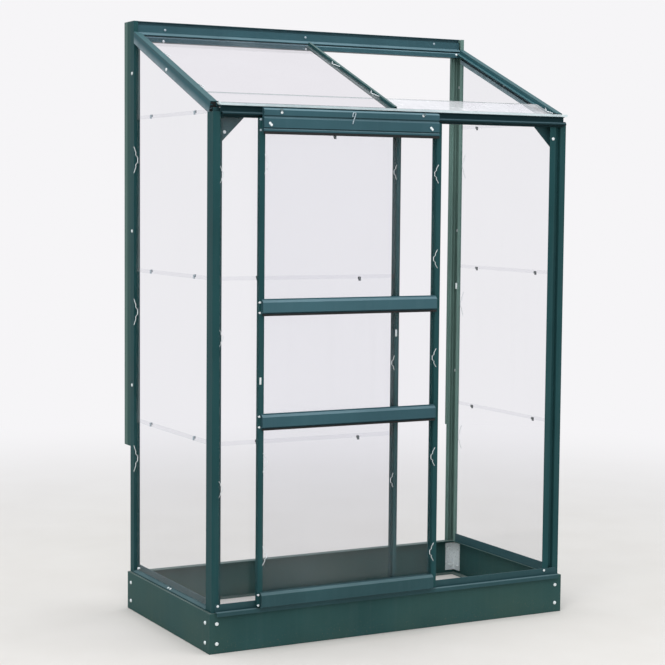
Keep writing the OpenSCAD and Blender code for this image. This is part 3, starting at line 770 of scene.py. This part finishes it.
# %% Bolts of the sills
SILL_OUT = 15
SILL_FACE = ((-630.6, 148), (591, 147))
LEDGE_LEAN = (0.46, 0.89)
LEDGE_X = 646
LEDGE_Z = 134.3
LEDGE_PAIR = (-328, -346)
GABLE_SILL = (-73, 149.5)
sill_upstand = depth_of(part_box("sill_front")[0].y) + SILL_OUT
turns = [stand(at(x, sill_upstand, z), FRONT) for x, z in SILL_FACE]
for side in (-1, 1):
    lean = (side * LEDGE_LEAN[0], 0, LEDGE_LEAN[1])
    turns += [stand(at(side * LEDGE_X, y, LEDGE_Z), lean) for y in LEDGE_PAIR]
    turns.append(stand(at(side * post_half, *GABLE_SILL), (side, 0, 0)))
copies(small_bolt, turns, "sill_bolts", "frame", zinc)

# %% Screws of the wall posts and rafters, bolts of the gussets and the ridge
GABLE_SCREWS = ((-16, 771), (-16, 1294), (-16, 1822), (-315, 1817))
RIDGE_FACE_IN = 18
RIDGE_BOLTS = ((-534, 1971), (-2, 1973), (526, 1976))
RIDGE_LIP_BOLTS = ((-547, 1931), (-9, 1931), (612, 1939))
turns = []
for side, out_way in ((-1, LEFT), (1, RIGHT)):
    turns += [stand(at(side * post_half, y, z), out_way) for y, z in GABLE_SCREWS]
copies(frame_bolt, turns, "post_screws", "frame", zinc)

gusset_face = depth_of(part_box("gusset_left")[0].y)
jamb_face = depth_of(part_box("door_jamb")[0].y)
wall_post_front = depth_of(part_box("wall_post_left")[0].y)
ridge_nose = depth_of(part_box("ridge_bar")[0].y)
left_gusset = at(-602, gusset_face, 1610)
right_gusset = at(597, jamb_face, 1616)
turns = [stand(place, FRONT) for place in (left_gusset, right_gusset)]
copies(frame_bolt, turns, "gusset_bolts", "frame", zinc)
turns = [stand(at(x, ridge_nose + RIDGE_FACE_IN, z), FRONT) for x, z in RIDGE_BOLTS]
copies(small_bolt, turns, "ridge_bolts", "frame", grey_zinc)
turns = [stand(at(x, ridge_nose, z), FRONT) for x, z in RIDGE_LIP_BOLTS]
copies(small_bolt, turns, "ridge_lip_bolts", "frame", zinc)

# %% [markdown]
# ### Bolts of the door
#
# Each rail is bolted to the left stile by a pair of small bolts. Near each
# end of the top rail a touching pair of larger ones, a head and its lock nut,
# holds the plate of the roller, and one more stands below the roller's axle.

# %% Bolts of the door
STILE_BOLT_X = -501.4
RAIL_BOLTS = (175, 142, 735, 702, 1089, 1057)
TOP_RAIL_BOLTS = (1649, 1617)
PLATE_BOLTS = (-474, 100)
PLATE_ROWS = (1638, 1633)
HALF_PAIR = 2.4
ROLLER_HEADS = ((-436.4, 1671.5), (68.4, 1676))
stile_face = depth_of(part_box("door_stile_left")[0].y)
turns = [stand(at(STILE_BOLT_X, stile_face, z), FRONT) for z in RAIL_BOLTS]
copies(tiny_bolt, turns, "door_bolts", "door", zinc)
turns = [stand(at(STILE_BOLT_X, stile_face, z), FRONT) for z in TOP_RAIL_BOLTS]
copies(tiny_bolt, turns, "door_dull_bolts", "door", grey_zinc)

rail_face = depth_of(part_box("door_top_rail")[0].y)
turns = []
for x in PLATE_BOLTS:
    turns.append(stand(at(x - HALF_PAIR, rail_face, PLATE_ROWS[0]), FRONT))
    turns.append(stand(at(x + HALF_PAIR, rail_face, PLATE_ROWS[1]), FRONT))
turns += [stand(at(x, rail_face, z), FRONT) for x, z in ROLLER_HEADS]
copies(small_bolt, turns, "hanger_bolts", "door", zinc)

# %% [markdown]
# ## Glazing clips
#
# Two kinds of clip hold the panes. A spring of bright wire, bent to a W, is
# pressed into each seat over the edge of the glass. Where one pane laps
# over the next, a thin S-shaped strip hooks under the upper pane and over
# the lower one. The wire is a small circle drawn out stroke by stroke.

# %% Model a wire spring
def model_wire(name, radius, start, strokes):
    """A round wire that starts at a point and follows a list of moves."""
    bpy.ops.object.select_all(action="DESELECT")
    bpy.ops.mesh.primitive_circle_add(
        vertices=6, radius=radius * MM, fill_type="NGON", location=[v * MM for v in start]
    )
    wire = bpy.context.active_object
    wire.name = name
    only(wire)
    bpy.ops.object.transform_apply(location=True, rotation=True, scale=True)
    bpy.ops.object.mode_set(mode="EDIT")
    bpy.ops.mesh.select_mode(type="FACE")
    bpy.ops.mesh.select_all(action="SELECT")
    for stroke in strokes:
        drag(*stroke)
    close_up(wire, 60)
    return wire


WIRE_RADIUS = 1.1
half_bow = [(-8.5, 0, 14), (1.5, 0, 4), (-7.5, 0, 6)]
other_half = [(7.5, 0, 6), (-1.5, 0, 4), (8.5, 0, 14)]
spring = model_wire("spring", WIRE_RADIUS, (7.5, 0, -30), half_bow + [(0, 0, 12)] + other_half)
half_bow = [(-7.5, 0, 21), (1.5, 0, 6), (-7.5, 0, 9)]
other_half = [(7.5, 0, 9), (-1.5, 0, 6), (7.5, 0, 21)]
long_strokes = half_bow + [(0, 0, 16)] + other_half
long_spring = model_wire("long spring", WIRE_RADIUS, (7, 0, -44), long_strokes)

# %% Model a lap clip
CLIP_WIDTH = 7
CLIP_HEIGHT = 12
CLIP_SHEET = 0.5
CLIP_FOOT = -0.3
CLIP_MIDDLE = (0, -0.3, 5.6)
CLIP_STROKES = ((0, 3.45, 0), (0, 0, 12.9), (0, 3.5, 0), (0, 0, -8))
middle = [v * MM for v in CLIP_MIDDLE]
bpy.ops.object.select_all(action="DESELECT")
bpy.ops.mesh.primitive_plane_add(size=1, rotation=(math.pi / 2, 0, 0), location=middle)
lap_clip = bpy.context.active_object
lap_clip.name = "lap clip"
lap_clip.scale = (CLIP_WIDTH * MM, CLIP_HEIGHT * MM, 1)
only(lap_clip)
bpy.ops.object.transform_apply(location=True, rotation=True, scale=True)
pick(lap_clip, lambda spot, way: spot.z < CLIP_FOOT * MM, "EDGE")
for move in CLIP_STROKES:
    drag(*move)
bpy.ops.object.mode_set(mode="OBJECT")
thick = lap_clip.modifiers.new("sheet", "SOLIDIFY")
thick.thickness = CLIP_SHEET * MM
thick.offset = 0.0
bpy.ops.object.modifier_apply(modifier=thick.name)
print("lap clip has", len(lap_clip.data.polygons), "faces")

# %% [markdown]
# The springs sit along the upright edges of the panes, and the lap clips a
# hand's breadth in from a pane's two sides. The helper below turns a
# template whose length runs up z and whose outside is -y.

# %% Set out the springs of the fixed pane
def lay(place, along, outside):
    """Turn a template so that z runs along a direction and -y faces outside."""
    up = Vector(along).normalized()
    back = -Vector(outside).normalized()
    across = back.cross(up)
    turn = Matrix((across, back, up)).transposed().to_4x4()
    return Matrix.Translation(place) @ turn


SPRING_PROUD = 1
PANE_LEFT_X = -620
PANE_LEFT_ROWS = (1480, 980, 512)
PANE_RIGHT_X = -8
PANE_RIGHT_ROWS = (1496, 882, 499)
front_pane = depth_of(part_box("front_glass")[0].y) - SPRING_PROUD
turns = [lay(at(PANE_LEFT_X, front_pane, z), DOWN, FRONT) for z in PANE_LEFT_ROWS]
turns += [lay(at(PANE_RIGHT_X, front_pane, z), UP, FRONT) for z in PANE_RIGHT_ROWS]
copies(spring, turns, "frame_springs", "frame", zinc)

# %% Set out the gable springs
GABLE_ROWS = (1533, 1022, 523)
REAR_SPRING_Y = -45
FRONT_SPRING_Y = -632
REAR_SPRING_OUT = 6
side_pane = -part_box("gable_glass_left")[0].x / MM - SPRING_PROUD
turns = []
for height in GABLE_ROWS:
    turns.append(lay(at(-(side_pane + REAR_SPRING_OUT), REAR_SPRING_Y, height), DOWN, FRONT))
    turns.append(lay(at(-side_pane, FRONT_SPRING_Y, height), UP, LEFT))
    turns.append(lay(at(side_pane + REAR_SPRING_OUT, REAR_SPRING_Y, height), UP, FRONT))
    turns.append(lay(at(side_pane, FRONT_SPRING_Y, height), DOWN, RIGHT))
copies(long_spring, turns, "gable_springs", "frame", zinc)

# %% Set out the springs of the door
DOOR_RIGHT_ROWS = (1492, 1218, 896, 571, 256)
DOOR_LEFT_ROWS = (1514, 591, 298)
OVER_STILE = 1.2
LEFT_SEAT_IN = 1.5
RIGHT_SEAT_IN = 6
over_stile = stile_face - OVER_STILE
left_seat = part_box("door_stile_left")[1].x / MM - LEFT_SEAT_IN
right_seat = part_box("door_stile_right")[0].x / MM + RIGHT_SEAT_IN
turns = [lay(at(right_seat, over_stile, z), UP, FRONT) for z in DOOR_RIGHT_ROWS]
turns += [lay(at(left_seat, over_stile, z), DOWN, FRONT) for z in DOOR_LEFT_ROWS]
copies(spring, turns, "door_springs", "door", zinc)

# %% Set out the roof springs
up_slope = Vector((0, math.cos(pitch), math.sin(pitch)))
down_slope = -up_slope
foot = at(0, 0, 0) + Vector((0, roof_low.y - wall_y, ledge_z * MM))
ROOF_SPRINGS = (
    (-6, 447, 8, up_slope),
    (-6, 150, 8, up_slope),
    (-618, 447, 8, down_slope),
    (-618, 150, 8, down_slope),
    (620, 44, 6, up_slope),
)
turns = []
for x, far, off, way in ROOF_SPRINGS:
    place = foot + Vector((x * MM, 0, 0)) + up_slope * far * MM + off_slope * off * MM
    turns.append(lay(place, way, off_slope))
copies(spring, turns, "roof_springs", "frame", zinc)

# %% Set out the lap clips
LAP_PITCH = 510
REAR_CLIPS = (-137, -155, -142)
FRONT_CLIP = -530
GABLE_DROP = 5
PANE_LEFT_CLIP = -495
PANE_RIGHT_CLIP = -135
PANE_DROP = 7
TOP_CLIP = (-228, 1597)
LEFT_GABLE_CLIPS = (-162, -522)
lap_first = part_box("gable_glass_left")[0].z / MM
lap_heights = [lap_first + LAP_PITCH * count for count in (1, 2, 3)]
side_out = -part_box("gable_glass_left")[0].x / MM
front_out = depth_of(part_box("front_glass")[0].y)
turns = []
for height, y in zip(lap_heights, REAR_CLIPS):
    turns.append(lay(at(side_out, y, height - GABLE_DROP), UP, RIGHT))
for height in lap_heights[:2]:
    turns.append(lay(at(side_out, FRONT_CLIP, height - GABLE_DROP), UP, RIGHT))
    turns.append(lay(at(PANE_LEFT_CLIP, front_out, height), UP, FRONT))
    turns.append(lay(at(PANE_RIGHT_CLIP, front_out, height - PANE_DROP), UP, FRONT))
turns.append(lay(at(TOP_CLIP[0], front_out, TOP_CLIP[1]), UP, FRONT))
# The lap clips take the darker zinc: painted shade.
copies(lap_clip, turns, "lap_clips", "frame", shaded_zinc)
turns = []
for height in lap_heights:
    turns += [lay(at(-side_out, y, height), UP, LEFT) for y in LEFT_GABLE_CLIPS]
copies(lap_clip, turns, "left_lap_clips", "frame", grey_zinc)

# %% [markdown]
# ## The wire hook
#
# A bent wire hangs over the middle of the door's top rail, and hooks the
# door to the frame. It is drawn with the same stroke helper as the springs:
# up, over in a narrow bend, and down again on the slant.

# %% Door hook
HOOK_RADIUS = 2.0
hook_moves = [(0.6, 0, 8), (1.6, 0, 4), (2.6, 0, 2), (3.4, 0, 0.8), (2.2, 0, -2.6), (0, 0, -4)]
hook_moves += [(-3.6, 0, -10), (-4.6, 0, -13), (-1.8, 0, -7)]
hook = model_wire("door_hook", HOOK_RADIUS, (-6, 0, -14), hook_moves)
on_rail = Matrix.Translation(at(-184, rail_face - 1.4, 1679))
copies(hook, [on_rail], "door_hook", "door", grey_zinc)

# %% [markdown]
# ## Rubber seals of the door
#
# The upper edges of the door's panes are held in black rubber, which shows
# as a thin line along the foot of the three upper rails. Each seal is a bar
# whose front edges are bevelled round, as an extruded rubber would be.

# %% Door seals
SEAL_DEPTH = 4
SEAL_ROUND = 1.2
RAILS = (("top", 1.0, -1.0, 6.5), ("middle", 4.5, -5.0, 1.5), ("lower", 4.5, -4.0, 1.5))
rubber = nylon_finish("black rubber")
for name, back, low, high in RAILS:
    rail, rail_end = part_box("door_" + name + "_rail")
    middle = ((rail.x + rail_end.x) / 2, rail.y + back * MM, rail.z + (low + high) / 2 * MM)
    size = (rail_end.x - rail.x, SEAL_DEPTH * MM, (high - low) * MM)
    seal = block("door_seal_" + name, middle, size)
    round_front(seal, SEAL_ROUND)
    seal.data.materials.append(rubber)
    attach(seal, "door")
print("seals on", len(RAILS), "rails")

# %% [markdown]
# ## The plastic pads
#
# A small pale plastic pad is stuck to the left stile at hand height, where
# the door is pushed, and two more sit on the middle bar and on the right
# wall post. A thin block is bevelled so that it looks moulded, and its
# plastic has a faint grain.

# %% Pale plastic
pale_plastic, tree, out = new_finish("pale plastic")
spot = own_space(tree)
fine = noise(tree, spot, 260.0, 3.0)
tone = blend(tree, fine, ink(204, 214, 212), ink(232, 238, 236))
rough = spread(tree, fine, 0.3, 0.7, 0.4, 0.6)
skin = bump(tree, fine, 0.15, 0.0002).outputs[0]
shader = add(tree, "BsdfPrincipled", {"Base Color": tone, "Roughness": rough, "Normal": skin})
tree.links.new(shader.outputs[0], out.inputs[0])
print("made", pale_plastic.name)

# %% Plastic pads
PAD_SIZE = (6.5, 1.8, 22)
PAD_OUT = 0.8
PAD_ROUND = 0.7
pad = block("pad", (0, -PAD_OUT * MM, 0), [v * MM for v in PAD_SIZE])
round_front(pad, PAD_ROUND)
on_stile = Matrix.Translation(at(-498.5, stile_face, 846))
copies(pad, [on_stile], "stile_pad", "door", pale_plastic)
bar_face = depth_of(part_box("front_bar")[0].y)
on_bar = Matrix.Translation(at(-3, bar_face, 979))
on_post = Matrix.Translation(at(624, wall_post_front, 1089))
copies(pad, [on_bar, on_post], "bar_pads", "frame", pale_plastic)

# %% [markdown]
# ## The clear strip at the eave
#
# A strip of clear plastic lies on the ledge in front of the roof glass and
# stands up a little at its front edge. It closes the gap under the panes.
# It is one long flat bar, with its front face drawn up into a lip and its
# left end curled up where it has come loose.

# %% Clear plastic
clear, tree, out = new_finish("clear plastic")
spot = own_space(tree)
milk = noise(tree, spot, 18.0, 4.0)
share = spread(tree, milk, 0.3, 0.7, 0.5, 0.8)
tone = blend(tree, milk, ink(222, 236, 238), ink(240, 246, 246))
body = add(tree, "BsdfPrincipled", {"Base Color": tone, "Roughness": 0.25}).outputs[0]
through = add(tree, "BsdfTransparent", {"Color": ink(244, 250, 250)}).outputs[0]
shown = cover(tree, share, through, body)
tree.links.new(shown, out.inputs[0])
print("made", clear.name)

# %% Clear strip
STRIP_X = (-627, 650)
STRIP_Y = (-691.5, -677.5)
STRIP_Z = (0.1, 1.3)
LIP_BACK = -690.3
LIP_SIDE = -690.5
LIP_HEIGHT = 6.5
CURL = ((-5, 0, 2.5), (-4, 0, 4))
strip_from = at(STRIP_X[0], STRIP_Y[0], ledge_z + STRIP_Z[0])
strip_to = at(STRIP_X[1], STRIP_Y[1], ledge_z + STRIP_Z[1])
strip = block("eave_strip", (strip_from + strip_to) / 2, strip_to - strip_from)
bpy.ops.object.mode_set(mode="EDIT")
bpy.ops.mesh.select_all(action="SELECT")
bpy.ops.mesh.bisect(plane_co=at(0, LIP_BACK, 0), plane_no=BACK)
lip_y = at(0, LIP_SIDE, 0).y
pick(strip, lambda spot, facing: facing.z > SQUARE_ON and spot.y < lip_y)
drag(0, 0, LIP_HEIGHT)
end_x = strip_from.x + 0.1 * MM
pick(strip, lambda spot, facing: facing.x < -SQUARE_ON and spot.x < end_x)
for move in CURL:
    drag(*move)
close_up(strip)
strip.data.materials.append(clear)
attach(strip, "frame")

# %% [markdown]
# ## Plugs in the rafters
#
# The lower ends of the two end rafters are open profiles, and each is closed
# by a black plastic plug a little way in, which darkens the open end as
# painted shade for the dark inside of the profile. A block is turned to the
# slope of the roof, bevelled on its front face and set just behind the end.

# %% Rafter plugs
PLUG_SIZE = (31, 8, 31)
PLUG_ROUND = 1.2
PLUG_SINK = 0.018
PLUG_X = 0.6325
PLUG_Y = -650
plug = block("plug", (0, 0, 0), [v * MM for v in PLUG_SIZE])
round_front(plug, PLUG_ROUND)
plug_drop = bar_top - PLUG_SINK
plug_y = at(0, PLUG_Y, 0).y
plug_z = (plug_drop - off_slope.y * plug_y) / off_slope.z
turns = []
for side in (-1, 1):
    place = Matrix.Translation((side * PLUG_X, plug_y, plug_z))
    turns.append(place @ Matrix.Rotation(pitch, 4, "X"))
# Black plugs in the open rafter ends: painted shade.
copies(plug, turns, "rafter_shade_plugs", "frame", nylon)

# %% [markdown]
# ## Putting the templates away
#
# The templates were only there to be copied, so they leave the scene.

# %% Remove the templates
templates = [base_bolt, frame_bolt, small_bolt, tiny_bolt, spring, long_spring, lap_clip]
for template in templates + [hook, pad, plug]:
    bpy.data.objects.remove(template)

# %% [markdown]
# ## Floor and daylight
#
# The house stands on a plain pale floor under a soft even sky. The floor is
# warm grey near the house, where it takes the shadow, and further out it
# turns into the same white as the sky, so that there is no horizon.

# %% Floor
FLOOR_SIZE = 40
FLOOR_DROP = 0.0005
FADE = (0.9, 5.0)
SKY = ink(246, 245, 247)
bpy.ops.object.select_all(action="DESELECT")
bpy.ops.mesh.primitive_plane_add(size=FLOOR_SIZE, location=(0, 0, -FLOOR_DROP))
floor = bpy.context.active_object
floor.name = "floor"
ground, tree, out = new_finish("pale floor")
spot = own_space(tree)
far = add(tree, "VectorMath", {0: spot}, operation="LENGTH").outputs["Value"]
fade = spread(tree, far, *FADE, interpolation_type="SMOOTHSTEP")
speck = noise(tree, spot, 3.0, 6.0)
tone = blend(tree, speck, ink(216, 210, 203), ink(226, 221, 215))
matt = add(tree, "BsdfDiffuse", {"Color": tone}).outputs[0]
white = add(tree, "Emission", {"Color": SKY, "Strength": 1.0}).outputs[0]
share = times(tree, eye_rays(tree), fade)
shown = cover(tree, share, matt, white)
tree.links.new(shown, out.inputs[0])
floor.data.materials.append(ground)

# %% Sky and lamp
world = bpy.data.worlds.new("sky")
bpy.context.scene.world = world
world.use_nodes = True
tree = world.node_tree
tree.nodes.clear()
out = add(tree, "OutputWorld")
dim = add(tree, "Background", {"Color": ink(236, 243, 250), "Strength": 0.85}).outputs[0]
bright = add(tree, "Background", {"Color": SKY, "Strength": 1.0}).outputs[0]
shown = cover(tree, eye_rays(tree), dim, bright)
tree.links.new(shown, out.inputs[0])


def soft_lamp(name, place, target, size, power):
    """A square soft box that looks at a target, with its power in watts."""
    bpy.ops.object.select_all(action="DESELECT")
    bpy.ops.object.light_add(type="AREA", location=place)
    lamp = bpy.context.active_object
    lamp.name = name
    lamp.data.shape = "SQUARE"
    lamp.data.size = size
    lamp.data.energy = power
    way = Vector(target) - Vector(place)
    lamp.rotation_euler = way.to_track_quat("-Z", "Y").to_euler()
    print(name, power, "W")


soft_lamp("key", (-2.6, -3.6, 4.2), (0, 0, 0.9), 3.0, 80)
soft_lamp("top", (0.0, -0.4, 5.0), (0, 0, 1.0), 3.0, 110)

# %% [markdown]
# ## Camera
#
# The camera stands to the left of the house at a person's chest height and
# looks slightly down, through a long lens that keeps the uprights nearly
# parallel. Its turn is built from three angles: the heading, the dip and
# a very small tilt.

# %% Camera
CAMERA_PLACE = (-2.8178, -5.2100, 1.4183)
SENSOR = 36
LENS = 94.41
heading = math.radians(27.983)
dip = math.radians(4.478)
tilt = math.radians(0.516)
bpy.ops.object.select_all(action="DESELECT")
bpy.ops.object.camera_add(location=CAMERA_PLACE)
camera = bpy.context.active_object
camera.name = "camera"
camera.data.sensor_width = SENSOR
camera.data.lens = LENS
turn = Matrix.Rotation(-heading, 4, "Z") @ Matrix.Rotation(math.pi / 2 - dip, 4, "X")
camera.rotation_euler = (turn @ Matrix.Rotation(tilt, 4, "Z")).to_euler()
bpy.context.scene.camera = camera
bpy.context.scene.view_settings.view_transform = "Standard"
print("camera at", tuple(camera.location), "lens", camera.data.lens)
